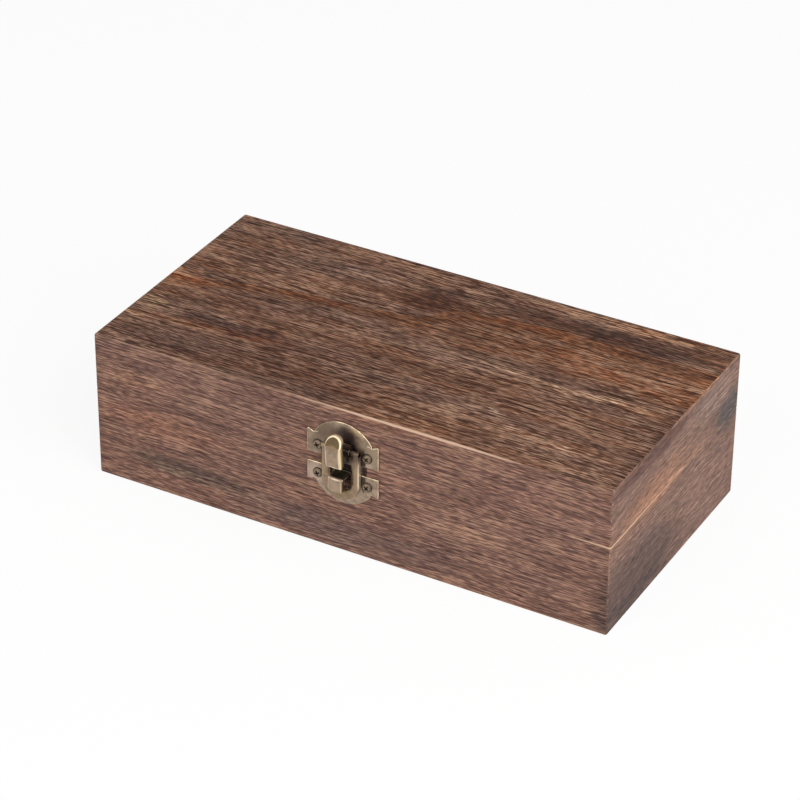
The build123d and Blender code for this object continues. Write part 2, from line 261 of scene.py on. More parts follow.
def makeTopFigure():
    # The lid's own figure: a warm band that climbs from the left edge to the back, dark wood behind it
    tree, taken, given = newGroup("topFigure", [("Vector", "Place", None)],
                                  [("Float", "Warm"), ("Float", "Dark"), ("Float", "Streaks")])
    bent = swayed(tree, taken["Place"], (16, 7, 7), (14.0, 6.0, 0.0), 3.0)
    x, y, z = split(tree, bent)
    length, width = 2 * boxCorner.x / mm, 2 * boxCorner.y / mm
    along = calc(tree, "MULTIPLY_ADD", x, 1 / length, 0.5)
    path = bandPath(tree, along, length, width, topBand)
    across = calc(tree, "SUBTRACT", width / 2, y)
    below = calc(tree, "SUBTRACT", across, path)  # mm to the front of the band's back edge
    starts = fade(tree, below, -0.8, 1.2)
    reach = fade(tree, along, 0.40, 0.62, 7.0, 30.0)
    ends = fade(tree, calc(tree, "DIVIDE", below, reach), 1.15, 0.35)
    wide = times(tree, starts, ends)
    aside = calc(tree, "SUBTRACT", across, bandPath(tree, along, length, width, lowerLine))
    thin = fade(tree, calc(tree, "ABSOLUTE", aside), 2.6, 0.3, 0.0, 0.6)
    feed(tree, given["Warm"], calc(tree, "MAXIMUM", wide, thin))
    behind = times(tree, fade(tree, below, 0.6, -0.8), fade(tree, below, -9.0, -2.0))
    waist = ellipsoid(tree, bent, (-8, 28, 57), (16, 13, 9))
    trail = ellipsoid(tree, bent, (55, 37, 57), (62, 7, 9))
    dark = calc(tree, "MAXIMUM", times(tree, behind, 0.65), calc(tree, "MAXIMUM", waist, trail))
    feed(tree, given["Dark"], dark)
    quiet = calc(tree, "MAXIMUM", times(tree, waist, 0.9), times(tree, trail, 0.8))
    bandQuiet = times(tree, times(tree, starts, fade(tree, below, 9.0, 3.0)), 0.65)
    feed(tree, given["Streaks"], calc(tree, "SUBTRACT", 1.0, calc(tree, "MAXIMUM", quiet, bandQuiet)))
    return tree


# Patches where the stain is darker or lighter, each a soft ellipsoid in mm and the tone it multiplies by.
# The lid comes first, then the front, then the right end.
stainPatches = [
    {"centre": (-55, -8, 57), "size": (44, 12, 9), "tone": (0.90, 0.92, 0.97, 1)},
    {"centre": (-50, -23, 57), "size": (42, 6, 8), "tone": (0.58, 0.54, 0.58, 1)},
    {"centre": (-40, -39, 57), "size": (66, 14, 8), "tone": (0.70, 0.68, 0.70, 1)},
    {"centre": (10, -16, 57), "size": (42, 11, 8), "tone": (0.78, 0.78, 0.80, 1)},
    {"centre": (60, -1, 57), "size": (38, 2.6, 5), "tone": (2.10, 2.30, 2.20, 1)},
    {"centre": (44, -25, 57), "size": (6, 2.6, 5), "tone": (2.00, 2.40, 2.60, 1)},
    {"centre": (68, -34, 57), "size": (28, 2.8, 5), "tone": (1.70, 1.90, 2.00, 1)},
    {"centre": (60, 46, 57), "size": (52, 4, 6), "tone": (1.35, 1.30, 1.20, 1)},
    {"centre": (-96, 2, 57), "size": (14, 4.0, 4), "tone": (1.45, 1.32, 1.15, 1)},
    {"centre": (-55, 40, 57), "size": (44, 10, 8), "tone": (1.12, 1.22, 1.32, 1)},
    {"centre": (25, 20, 57), "size": (32, 13, 8), "tone": (0.76, 0.75, 0.75, 1)},
    {"centre": (-95, -21, 57), "size": (7, 4, 4), "tone": (1.60, 1.75, 1.50, 1)},
    {"centre": (-93, -31, 57), "size": (9, 3, 4), "tone": (1.45, 1.40, 1.30, 1)},
    {"centre": (86, -48.5, 57), "size": (12, 1.8, 5), "tone": (0.35, 0.36, 0.38, 1), "level": True},
    {"centre": (20, -48, 57), "size": (40, 4, 6), "tone": (1.15, 1.10, 1.00, 1)},
    {"centre": (-80, -50, 43), "size": (24, 8, 4), "tone": (1.35, 1.35, 1.25, 1)},
    {"centre": (-72, -50, 28), "size": (38, 8, 7), "tone": (1.18, 1.10, 1.03, 1)},
    {"centre": (-62, -50, 12), "size": (36, 8, 5), "tone": (0.68, 0.80, 0.82, 1)},
    {"centre": (0, -50, 8), "size": (60, 8, 9), "tone": (0.76, 0.84, 0.92, 1)},
    {"centre": (45, -50, 24), "size": (30, 8, 5), "tone": (1.17, 1.19, 1.15, 1)},
    {"centre": (75, -50, 44), "size": (34, 8, 8), "tone": (1.10, 1.08, 1.08, 1)},
    {"centre": (100, -20, 54.5), "size": (8, 50, 5), "tone": (0.60, 0.55, 0.58, 1)},
    {"centre": (100, -22, 38), "size": (8, 40, 10), "tone": (1.24, 1.12, 1.00, 1)},
    {"centre": (100, -8, 35.3), "size": (8, 56, 3), "tone": (1.30, 1.28, 1.22, 1)},
    {"centre": (100, 30, 50), "size": (8, 24, 10), "tone": (1.14, 1.24, 1.28, 1)},
    {"centre": (100, 42, 39), "size": (8, 13, 10), "tone": (0.55, 0.74, 0.88, 1)},
    {"centre": (100, -32, 12), "size": (8, 52, 20), "tone": (0.60, 0.64, 0.70, 1)},
    {"centre": (100, -32, 3), "size": (8, 52, 9), "tone": (0.72, 0.77, 0.82, 1)},
    {"centre": (100, 24, 17), "size": (8, 30, 18), "tone": (1.10, 1.11, 1.13, 1)},
]

# Thin lines where the stain is worn through, a painted highlight along the seam at the right end, and painted
# shadow on the wood behind the latch and right of its ring, each with its colour and how strongly
wornLinesAndPaintedLight = [
    {"centre": (26, -49.9, 56.9), "size": (54, 0.8, 0.65), "colour": (0.74, 0.50, 0.36, 1), "amount": 0.95,
     "inner": 0.5},
    {"centre": (-60, -49.9, 56.9), "size": (46, 0.7, 0.55), "colour": (0.46, 0.29, 0.19, 1), "amount": 0.5},
    {"centre": (70, -49.9, 0.3), "size": (70, 1.2, 0.8), "colour": (0.50, 0.26, 0.13, 1), "amount": 0.6},
    # Painted shadow on the wood behind the latch, seen through its ring
    {"centre": (0.5, -50, 36), "size": (7, 3, 9), "colour": (0.016, 0.011, 0.012, 1), "amount": 0.95,
     "inner": 0.6},
    # Painted shadow on the wood right of the ring's arm
    {"centre": (8.1, -50, 35.5), "size": (1.2, 2, 4), "colour": (0.030, 0.018, 0.014, 1), "amount": 0.9,
     "inner": 0.6},
    # Painted highlight along the seam's chamfer near the right end and across the end
    {"centre": (100, -50, 35.0), "size": (22, 78, 0.50), "colour": (0.74, 0.52, 0.36, 1), "amount": 0.9,
     "upright": True},
]


def alongGrain(tree, spot, normal, endBoard):
    # mm, with X along the grain: along the box for the long boards, across it on the two ends
    x, y, z = split(tree, spot)
    turned = addNode(tree, "CombineXYZ", {0: y, 1: x, 2: z}).outputs[0]
    if endBoard:
        return turned
    sideways = calc(tree, "GREATER_THAN", calc(tree, "ABSOLUTE", normal[0]), 0.5)
    return addNode(tree, "Mix", {0: sideways, 4: spot, 5: turned}, data_type="VECTOR").outputs[1]


def paintPatches(tree, colour, spot, normal, patches):
    slope = normal[2]
    level = calc(tree, "ABSOLUTE", slope)
    for patch in patches:
        amount = ellipsoid(tree, spot, patch["centre"], patch["size"], patch.get("inner", 0.35))
        if patch.get("slopes"):  # only where the surface leans back or faces up
            amount = times(tree, amount, fade(tree, slope, 0.22, 0.38))
        if patch.get("upright"):  # not on level surfaces
            amount = times(tree, amount, fade(tree, level, 0.95, 0.85))
        if patch.get("level"):  # only on level surfaces
            amount = times(tree, amount, fade(tree, level, 0.85, 0.95))
        if "tone" in patch:
            colour = tint(tree, amount, colour, patch["tone"], "MULTIPLY")
        else:
            colour = tint(tree, times(tree, amount, patch["amount"]), colour, patch["colour"])
    return colour


def outerFaces(tree, spot, normal):
    # Masks of the lid's top, of the long sides and of the ends. The inside and the seam's faces are in none.
    x, y, z = split(tree, spot)
    onTop = times(tree, fade(tree, normal[2], 0.3, 0.7), fade(tree, z, 54.0, 56.0))
    outwards = times(tree, normal[1], calc(tree, "SIGN", y))
    endwards = times(tree, normal[0], calc(tree, "SIGN", x))
    onSide = times(tree, fade(tree, outwards, 0.3, 0.7), fade(tree, calc(tree, "ABSOLUTE", y), 48.0, 49.0))
    onEnd = times(tree, fade(tree, endwards, 0.3, 0.7), fade(tree, calc(tree, "ABSOLUTE", x), 98.0, 99.0))
    return onTop, onSide, times(tree, onEnd, calc(tree, "SUBTRACT", 1.0, onSide))


def stainedWood(name, groups, endBoard=False):
    material, tree, shader = newMaterial(name)
    spot, normal = surface(tree)
    grain = alongGrain(tree, spot, normal, endBoard)
    onTop, onSide, onEnd = outerFaces(tree, spot, normal)
    figure = callGroup(tree, groups["topFigure"], Place=spot)
    streaks = calc(tree, "ADD", times(tree, onTop, calc(tree, "SUBTRACT", figure["Streaks"], 0.75)), 0.75)
    streaks = calc(tree, "SUBTRACT", streaks, times(tree, onEnd, 0.30))
    hatch = calc(tree, "SUBTRACT", 1.0, times(tree, onEnd, 0.15))
    cloud = calc(tree, "MULTIPLY_ADD", calc(tree, "ADD", onSide, onEnd), -0.15, 0.45)
    cloud = calc(tree, "MULTIPLY_ADD", onTop, 0.55, cloud)
    grained = callGroup(tree, groups["openGrain"], Place=grain, Streaks=streaks, Hatch=hatch, Cloud=cloud)
    ramp = addNode(tree, "ValToRGB", {"Fac": grained["Tone"]})
    stops = ramp.color_ramp.elements
    stops[0].position, stops[0].color = 0.05, wood["dark"]
    stops[1].position, stops[1].color = 0.95, wood["light"]
    middle = stops.new(0.46)
    middle.color = wood["mid"]
    colour = ramp.outputs[0]
    # The stain drifts between orange and violet along the grain
    drift = grainNoise(tree, grain, grainSize["drift"], 2.0, 0.5, shift=(2, 31, 8))
    warmer = tint(tree, 1.0, colour, stainTones["warmer"], "MULTIPLY")
    cooler = tint(tree, 1.0, colour, stainTones["cooler"], "MULTIPLY")
    colour = tint(tree, cloud, colour, tint(tree, fade(tree, drift, 0.36, 0.64), cooler, warmer))
    # It differs from face to face: a painted sheen lightens the long sides and, more, the ends
    colour = tint(tree, onSide, colour, tint(tree, 1.0, colour, paintedSheen["side"], "ADD"))
    colour = tint(tree, onEnd, colour, tint(tree, 1.0, colour, paintedSheen["end"], "ADD"))
    warm = times(tree, times(tree, figure["Warm"], onTop), stainTones["warmShare"])
    colour = tint(tree, warm, colour, stainTones["warm"], "MULTIPLY")
    violet = times(tree, times(tree, figure["Dark"], onTop), stainTones["violetShare"])
    colour = tint(tree, violet, colour, stainTones["violet"], "MULTIPLY")
    colour = tint(tree, times(tree, grained["Pore"], wood["poreShare"]), colour, wood["pore"])
    colour = tint(tree, times(tree, grained["Streak"], wood["streakShare"]), colour, wood["streak"])
    ragged = swayed(tree, spot, grainSize["patchSway"], (12.0, 12.0, 4.0), 2.0, along=grain)
    colour = paintPatches(tree, colour, ragged, normal, stainPatches)
    rubbed = callGroup(tree, groups["rubbedEdges"], Place=spot, Width=wood["rubbedWidth"])["Rubbed"]
    colour = tint(tree, times(tree, rubbed, wood["rubbedShare"]), colour, wood["rubbed"])
    # Worn lines, and painted shadow and highlight on the wood by the latch and along the seam
    colour = paintPatches(tree, colour, spot, normal, wornLinesAndPaintedLight)
    feed(tree, shader.inputs["Base Color"], colour)
    rough = calc(tree, "MULTIPLY_ADD", grained["Pore"], 0.1, wood["rough"])
    feed(tree, shader.inputs["Roughness"], calc(tree, "MULTIPLY_ADD", grained["Streak"], 0.08, rough))
    shader.inputs["Specular IOR Level"].default_value = wood["gloss"]
    bump = addNode(tree, "Bump", {"Height": grained["Height"], "Strength": wood["bump"],
                                  "Distance": wood["bumpDepth"]})
    feed(tree, shader.inputs["Normal"], bump.outputs[0])
    return material


woodGroups = {"openGrain": makeOpenGrain(), "rubbedEdges": makeRubbedEdges(), "topFigure": makeTopFigure()}
longBoards = stainedWood("stained wood, long boards", woodGroups)
endBoards = stainedWood("stained wood, end boards", woodGroups, endBoard=True)
boards = {"lid_top": longBoards, "base_bottom": longBoards}
for half in ("lid", "base"):
    boards.update({half + "_front": longBoards, half + "_back": longBoards})
    boards.update({half + "_left": endBoards, half + "_right": endBoards})
for name, material in boards.items():
    cadNodes[name].data.materials.clear()
    cadNodes[name].data.materials.append(material)
print("wood finished")


# Antique brass. Zones are soft ellipsoids in mm where the metal is darker or brighter than the rest: in the
# lid plate's dish and under the ring, on the keeper, on the ring's arms, on the lever, and on the rubbed
# edges.
# Most are painted light: painted shade and shadow in and around the ring and behind the lever, and painted
# highlights on rounded edges. The rest are the plating's own tone.

lidPlateToneAndPaintedLight = [
    {"centre": (-7.5, -51, 47.5), "size": (7, 4, 5), "colour": (0.145, 0.095, 0.064, 1), "amount": 0.75},
    {"centre": (-9.6, -51, 41), "size": (5, 4, 4), "colour": (0.200, 0.140, 0.100, 1), "amount": 0.6},
    {"centre": (12.2, -51, 42.5), "size": (4, 4, 6), "colour": (0.35, 0.260, 0.175, 1), "amount": 0.7},
    {"centre": (9, -51, 38.4), "size": (4, 4, 1.5), "colour": (0.46, 0.360, 0.270, 1), "amount": 0.7},
    # Painted highlight on the crown's right edge
    {"centre": (7, -51, 50.5), "size": (6, 4, 2.6), "colour": (0.48, 0.350, 0.210, 1), "amount": 0.75},
    # Dark patina in the dish, under a painted shadow and dark reflection of the pad
    {"centre": (0.6, -51, 46.0), "size": (6.4, 4, 6.0), "colour": (0.055, 0.032, 0.034, 1), "amount": 0.88},
    # Painted shade behind the lever, over dark patina in the window
    {"centre": (2.2, -52.5, 41), "size": (5.4, 4, 6.6), "colour": (0.032, 0.020, 0.024, 1), "amount": 0.96,
     "inner": 0.7},
    # Painted shadow of the ring's arm on the plate
    {"centre": (8.1, -51, 39), "size": (1.1, 4, 6), "colour": (0.035, 0.024, 0.016, 1), "amount": 0.95,
     "inner": 0.6},
]
basePlateToneAndPaintedLight = [
    {"centre": (-10.5, -51, 29), "size": (5, 3, 5), "colour": (0.50, 0.370, 0.300, 1), "amount": 0.8},
    # Painted shade inside the ring, over dark patina on the plate
    {"centre": (0, -50, 31), "size": (5.6, 4.4, 6.4), "colour": (0.030, 0.018, 0.020, 1), "amount": 0.97},
    # Painted shadow of the lever on the keeper's top, over patina
    {"centre": (0, -53, 34.2), "size": (4.4, 3.6, 2.4), "colour": (0.085, 0.075, 0.045, 1), "amount": 0.95},
    {"centre": (0, -56.8, 29.2), "size": (3.8, 1.8, 4.4), "colour": (0.44, 0.315, 0.225, 1), "amount": 0.8},
    # Painted highlights on the keeper's rounded right, left, bottom and top edges
    {"centre": (2.30, -56.4, 29), "size": (0.40, 1.2, 4.6), "colour": (0.72, 0.560, 0.340, 1), "amount": 0.9},
    {"centre": (-2.35, -56.9, 29), "size": (0.40, 1.0, 4.6), "colour": (0.82, 0.660, 0.480, 1),
     "amount": 0.85},
    {"centre": (0, -57.0, 25.7), "size": (3.0, 1.0, 0.45), "colour": (0.82, 0.660, 0.480, 1), "amount": 0.85},
    {"centre": (0, -56.2, 32.4), "size": (3.0, 0.9, 0.40), "colour": (0.82, 0.660, 0.480, 1), "amount": 0.8},
    # Painted shade on the keeper's right side and under the lever's foot, and painted shadow right of the
    # ring
    {"centre": (2.95, -56.0, 29), "size": (0.55, 1.4, 5), "colour": (0.080, 0.058, 0.026, 1), "amount": 0.95,
     "inner": 0.7},
    {"centre": (0, -54.2, 33.2), "size": (5.5, 3.0, 0.6), "colour": (0.040, 0.034, 0.022, 1), "amount": 0.95},
    {"centre": (3.2, -54.2, 29), "size": (0.5, 1.8, 5), "colour": (0.085, 0.062, 0.028, 1), "amount": 0.95},
    {"centre": (8.1, -51, 31), "size": (1.1, 4, 5), "colour": (0.045, 0.033, 0.022, 1), "amount": 0.9,
     "inner": 0.6},
]
ringToneAndPaintedLight = [
    # Painted shade on the arm tops under the pad, on the right arm's inner side and on the web behind the
    # lever
    {"centre": (5.5, -52.5, 42), "size": (4, 4, 4.6), "colour": (0.095, 0.066, 0.048, 1), "amount": 0.8},
    {"centre": (4.3, -52, 34), "size": (0.9, 2.2, 9), "colour": (0.120, 0.078, 0.068, 1), "amount": 0.9},
    {"centre": (0, -52.4, 39), "size": (4.6, 3.4, 3.4), "colour": (0.030, 0.018, 0.020, 1), "amount": 0.97,
     "inner": 0.7},
    {"centre": (-7.2, -52, 33), "size": (1.6, 3, 9), "colour": (0.40, 0.290, 0.180, 1), "amount": 0.7},
    {"centre": (6.6, -52, 33), "size": (1.3, 3, 9), "colour": (0.36, 0.255, 0.160, 1), "amount": 0.6},
    # Painted highlight on the right arm's outer edge
    {"centre": (7.2, -51.8, 33), "size": (0.50, 1.6, 10), "colour": (0.86, 0.740, 0.600, 1), "amount": 0.9,
     "inner": 0.6},
    {"centre": (0, -52.5, 25.2), "size": (6, 3, 2.4), "colour": (0.24, 0.170, 0.090, 1), "amount": 0.5},
]
leverToneAndPaintedLight = [
    # Painted highlight on the lever's right side; on its left and bottom edges and the pad's rim, rubbed
    # brass with a painted highlight
    {"centre": (2.9, -57.3, 42), "size": (1.1, 1.1, 9), "colour": (0.86, 0.70, 0.43, 1), "amount": 0.95,
     "inner": 0.6},
    {"centre": (-3.1, -57.3, 42), "size": (0.8, 1.1, 9), "colour": (0.80, 0.64, 0.46, 1), "amount": 0.9},
    {"centre": (0, -57.2, 37.8), "size": (4.0, 1.1, 0.7), "colour": (0.80, 0.64, 0.48, 1), "amount": 0.9},
    {"centre": (0, -57, 46.4), "size": (4.6, 4, 4.8), "colour": (0.84, 0.68, 0.46, 1), "amount": 0.9,
     "inner": 0.8, "slopes": True},
    {"centre": (-0.1, -57, 46.3), "size": (2.95, 4, 3.45), "colour": (0.078, 0.050, 0.020, 1), "amount": 0.97,
     "inner": 0.88, "slopes": True},
    {"centre": (-0.1, -58, 45.6), "size": (2.8, 3, 1.8), "colour": (0.26, 0.185, 0.100, 1), "amount": 0.6},
    # Painted shade between the lever and the right arm
    {"centre": (3.3, -55.0, 42), "size": (0.6, 1.6, 9), "colour": (0.060, 0.042, 0.026, 1), "amount": 0.95},
]
rubbedEdgeToneAndPaintedShade = [
    {"centre": (-7, -51, 50), "size": (6, 4, 5), "colour": (0.26, 0.185, 0.125, 1), "amount": 0.7},
    # Painted shade on the eased edges under the pad, on the keeper's right side and inside the ring
    {"centre": (4.6, -52.6, 42.0), "size": (4.4, 4, 4.2), "colour": (0.060, 0.040, 0.032, 1), "amount": 0.97,
     "inner": 0.7},
    {"centre": (-5.4, -52.6, 42.2), "size": (3.4, 4, 3.2), "colour": (0.090, 0.060, 0.044, 1), "amount": 0.9},
    {"centre": (2.95, -56.0, 29), "size": (0.6, 1.4, 5), "colour": (0.080, 0.058, 0.026, 1), "amount": 0.95,
     "inner": 0.7},
    {"centre": (2.9, -53.4, 33.1), "size": (0.9, 2.8, 0.9), "colour": (0.050, 0.040, 0.022, 1),
     "amount": 0.95, "inner": 0.7},
    {"centre": (2.0, -50.6, 33.6), "size": (3.0, 1.2, 0.9), "colour": (0.050, 0.036, 0.028, 1),
     "amount": 0.95, "inner": 0.8},
    {"centre": (3.6, -51.5, 31), "size": (1.4, 3, 6), "colour": (0.060, 0.040, 0.030, 1), "amount": 0.9,
     "inner": 0.6},
]
# How metallic every brass surface is, the colour of its tarnish spots, and how much its scratches show
brass = {"metal": 0.85, "spots": (0.07, 0.05, 0.035, 1), "scratched": 0.3}
brassFinishes = {
    "lidPlate": {"colour": (0.295, 0.215, 0.150, 1), "rough": 0.42, "zones": lidPlateToneAndPaintedLight},
    "basePlate": {"colour": (0.340, 0.250, 0.180, 1), "rough": 0.42, "zones": basePlateToneAndPaintedLight},
    "ring": {"colour": (0.290, 0.200, 0.125, 1), "rough": 0.36, "zones": ringToneAndPaintedLight},
    "lever": {"colour": (0.345, 0.248, 0.176, 1), "rough": 0.38, "zones": leverToneAndPaintedLight},
    "fittings": {"colour": (0.270, 0.195, 0.130, 1), "rough": 0.42, "zones": []},
    "wire": {"colour": (0.045, 0.032, 0.026, 1), "rough": 0.45, "zones": []},
}
# Rubbed brass for scratches and eased edges; on the eased edges it is also a painted highlight
rubbedAndHighlitBrass = {"colour": (0.84, 0.68, 0.46, 1), "dull": (0.40, 0.29, 0.19, 1), "rough": 0.28}


def makeTarnish():
    # Place is in mm. Tone runs from dark to bright plating, Spots and Scratches are 1 in the marks.
    tree, taken, given = newGroup(
        "tarnish", [("Vector", "Place", None), ("Float", "Scratched", 0.5)],
        [("Float", "Tone"), ("Float", "Spots"), ("Float", "Scratches"), ("Float", "Height")])
    spot = taken["Place"]
    mottle = grainNoise(tree, spot, (2.4, 2.4, 2.4), 4.0, 0.62, warp=0.4)
    spots = fade(tree, grainNoise(tree, spot, (0.42, 0.42, 0.42), 2.0, 0.5, shift=(3, 1, 2)), 0.37, 0.28)
    rising = grainNoise(tree, spot, (0.16, 0.4, 5.0), 1.0, 0.5, shift=(1, 5, 3))
    lying = grainNoise(tree, spot, (4.5, 0.4, 0.13), 1.0, 0.5, shift=(8, 2, 6))
    scratches = calc(tree, "MAXIMUM", fade(tree, rising, 0.64, 0.72), fade(tree, lying, 0.64, 0.72))
    feed(tree, given["Tone"], fade(tree, mottle, 0.32, 0.68))
    feed(tree, given["Spots"], spots)
    feed(tree, given["Scratches"], times(tree, scratches, taken["Scratched"]))
    feed(tree, given["Height"], calc(tree, "SUBTRACT", times(tree, mottle, 0.6), spots))
    return tree


def plating(name, finish, group):
    material, tree, shader = newMaterial(name)
    spot, normal = surface(tree)
    marks = callGroup(tree, group, Place=spot, Scratched=brass["scratched"])
    shade = fade(tree, marks["Tone"], 0.0, 1.0, 0.78, 1.18)
    colour = scaled(tree, finish["colour"][:3], shade)
    colour = tint(tree, times(tree, marks["Scratches"], 0.5), colour, rubbedAndHighlitBrass["colour"])
    colour = tint(tree, times(tree, marks["Spots"], 0.45), colour, brass["spots"])
    colour = paintPatches(tree, colour, spot, normal, finish["zones"])
    feed(tree, shader.inputs["Base Color"], colour)
    rough = calc(tree, "MULTIPLY_ADD", marks["Tone"], 0.14, finish["rough"] - 0.05)
    feed(tree, shader.inputs["Roughness"], calc(tree, "MULTIPLY_ADD", marks["Spots"], 0.2, rough))
    shader.inputs["Metallic"].default_value = brass["metal"]
    bump = addNode(tree, "Bump", {"Height": marks["Height"], "Strength": 0.35, "Distance": 0.03 * mm})
    feed(tree, shader.inputs["Normal"], bump.outputs[0])
    return material


# The eased edges: rubbed brass that also stands in as a painted highlight along them
def rubbedHighlitEdge(group):
    material, tree, shader = newMaterial("antique brass, rubbed edges and painted highlight")
    spot, normal = surface(tree)
    marks = callGroup(tree, group, Place=spot, Scratched=brass["scratched"])
    colour = tint(tree, marks["Tone"], rubbedAndHighlitBrass["dull"], rubbedAndHighlitBrass["colour"])
    colour = paintPatches(tree, colour, spot, normal, rubbedEdgeToneAndPaintedShade)
    feed(tree, shader.inputs["Base Color"], colour)
    rough = calc(tree, "MULTIPLY_ADD", marks["Spots"], 0.2, rubbedAndHighlitBrass["rough"])
    feed(tree, shader.inputs["Roughness"], rough)
    shader.inputs["Metallic"].default_value = brass["metal"]
    return material


# The metal pieces that get a fine eased edge, in mm, over the CAD node's own shape, rubbed and with a painted
# highlight on it, and those that stay plain
edgedPieces = {
    "latch_lid_plate": {"finish": "lidPlate", "edge": 0.26},
    "latch_base_plate": {"finish": "basePlate", "edge": 0.26},
    "hasp_frame": {"finish": "ring", "edge": 0.22},
    "thumb_lever": {"finish": "lever", "edge": 0.10},
}
plainPieces = {"lever_rivet": "ring", "latch_pin": "ring", "latch_spring": "wire"}
for side in ("left", "right"):
    plainPieces["hinge_" + side + "_pin"] = "fittings"
    for leaf in ("_base_leaf", "_lid_leaf"):
        edgedPieces["hinge_" + side + leaf] = {"finish": "fittings", "edge": 0.12}
sameFace, worthWearing, looksSharp = (math.radians(a) for a in (1, 48, 50))  # angles between two faces
weld = 0.001 * mm


def bodyOf(name):
    return next(body for body, names in frame["record"]["behaviour"]["bodies"].items() if name in names)


def standFor(mesh, name, node):
    # A finished piece that takes the place of a CAD node
    piece = bpy.data.objects.new(name, mesh)
    bpy.context.scene.collection.objects.link(piece)
    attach(piece, bodyOf(node))
    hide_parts(node)
    return piece


def edgedCopy(node, edge):
    # The node's shape with its flat faces whole and its outer edges eased. The eased faces take slot 1.
    shape = bmesh.new()
    shape.from_mesh(cadNodes[node].data)
    bmesh.ops.remove_doubles(shape, verts=shape.verts[:], dist=weld)
    bmesh.ops.dissolve_limit(shape, angle_limit=sameFace, verts=shape.verts[:], edges=shape.edges[:])
    outer = [e for e in shape.edges if e.is_manifold and e.is_convex and e.calc_face_angle() > worthWearing]
    made = bmesh.ops.bevel(shape, geom=outer, offset=edge * mm, offset_type="OFFSET", segments=2, profile=0.5,
                           affect="EDGES", clamp_overlap=False, material=-1)
    for face in made["faces"]:
        face.material_index = 1
    for face in shape.faces:
        face.smooth = True
    for line in shape.edges:
        line.smooth = not line.is_manifold or line.calc_face_angle() < looksSharp
    mesh = bpy.data.meshes.new(node + "_edged")
    shape.to_mesh(mesh)
    shape.free()
    return mesh


tarnish = makeTarnish()
finishes = {}
for name, finish in brassFinishes.items():
    finishes[name] = plating("antique brass, " + name, finish, tarnish)
edgeWearAndHighlight = rubbedHighlitEdge(tarnish)
for node, settings in edgedPieces.items():
    piece = standFor(edgedCopy(node, settings["edge"]), node + "_edged", node)
    piece.data.materials.append(finishes[settings["finish"]])
    piece.data.materials.append(edgeWearAndHighlight)
    evened = piece.modifiers.new("even shading", "WEIGHTED_NORMAL")
    evened.keep_sharp = True
for node, finish in plainPieces.items():
    cadNodes[node].data.materials.clear()
    cadNodes[node].data.materials.append(finishes[finish])
print("plates, ring, lever and hinges finished")


# Screws

# mm. Slot, reach and deep are the cross's width, the length of its arms and its depth.
latchScrew = {"radius": 1.85, "rise": 0.95, "shank": 0.80, "length": 5.3, "tip": 1.2,
              "slot": 0.68, "reach": 1.35, "deep": 0.60}
hingeScrew = {"radius": 1.45, "rise": 0.70, "shank": 0.65, "length": 4.9, "tip": 1.2,
              "slot": 0.36, "reach": 0.90, "deep": 0.42}
headRim = 0.25  # the share of a head's rise that stands upright
headSteps, headSides = 7, 40  # facets up the dome and round it
footTaper, sideTaper = 0.55, 0.7  # how much of the cross's reach and slot is left at its foot
cutterRise = 0.4  # mm that the blades stand above the head before they cut it
headSharp = math.radians(35)
firstTurn, nextTurn = 20, 35  # degrees that the crosses are turned by, so that no two stand alike
plateThickness, leafThickness = 0.8 * mm, 0.7 * mm


def spunScrew(size):
    # Round head on depth zero, Z outwards, with the shank and its point below
    shape = bmesh.new()
    r, rise = size["radius"], size["rise"]
    turns = [math.pi / 2 * i / headSteps for i in range(headSteps - 1, -1, -1)]
    arc = [(r * math.cos(a), rise * (headRim + (1 - headRim) * math.sin(a))) for a in turns]
    bottom = -size["length"]
    profile = [(0, rise)] + arc + [(r, 0), (size["shank"], 0), (size["shank"], bottom + size["tip"]),
                                   (0.1, bottom), (0, bottom)]
    points = [shape.verts.new((x * mm, 0, z * mm)) for x, z in profile]
    lines = [shape.edges.new(pair) for pair in zip(points, points[1:])]
    bmesh.ops.spin(shape, geom=points + lines, cent=(0, 0, 0), axis=(0, 0, 1), angle=2 * math.pi,
                   steps=headSides, use_merge=True)
    bmesh.ops.remove_doubles(shape, verts=shape.verts[:], dist=weld / 2)
    bmesh.ops.recalc_face_normals(shape, faces=shape.faces[:])
    mesh = bpy.data.meshes.new("screw")
    shape.to_mesh(mesh)
    shape.free()
    return mesh


def crossCutter(size):
    # Two tapered blades that meet at the middle, which press the cross into the head
    shape = bmesh.new()
    for turn in (0, math.pi / 2):
        blade = bmesh.ops.create_cube(shape, size=1.0)["verts"]
        for corner in blade:
            low = corner.co.z < 0
            corner.co.x *= 2 * size["reach"] * (footTaper if low else 1.0)
            corner.co.y *= size["slot"] * (sideTaper if low else 1.0)
            corner.co.z = size["rise"] + (-size["deep"] if low else cutterRise)
        bmesh.ops.scale(shape, vec=(mm, mm, mm), verts=blade)
        bmesh.ops.rotate(shape, verts=blade, cent=(0, 0, 0), matrix=Matrix.Rotation(turn, 3, "Z"))
    for face in shape.faces:
        face.material_index = 1
    mesh = bpy.data.meshes.new("cross")
    shape.to_mesh(mesh)
    shape.free()
    return mesh


def crossHead(size):
    screw = bpy.data.objects.new("screw", spunScrew(size))
    cross = bpy.data.objects.new("cross", crossCutter(size))
    for thing in (screw, cross):
        bpy.context.scene.collection.objects.link(thing)
        thing.data.materials.append(screwMetal)
        thing.data.materials.append(crossShade)
    cut = screw.modifiers.new("cross", "BOOLEAN")
    cut.object, cut.operation, cut.solver, cut.use_self = cross, "DIFFERENCE", "EXACT", True
    cut.material_mode = "INDEX"
    mesh = bpy.data.meshes.new_from_object(screw.evaluated_get(bpy.context.evaluated_depsgraph_get()))
    for thing in (screw, cross):
        bpy.data.objects.remove(thing)
    return mesh


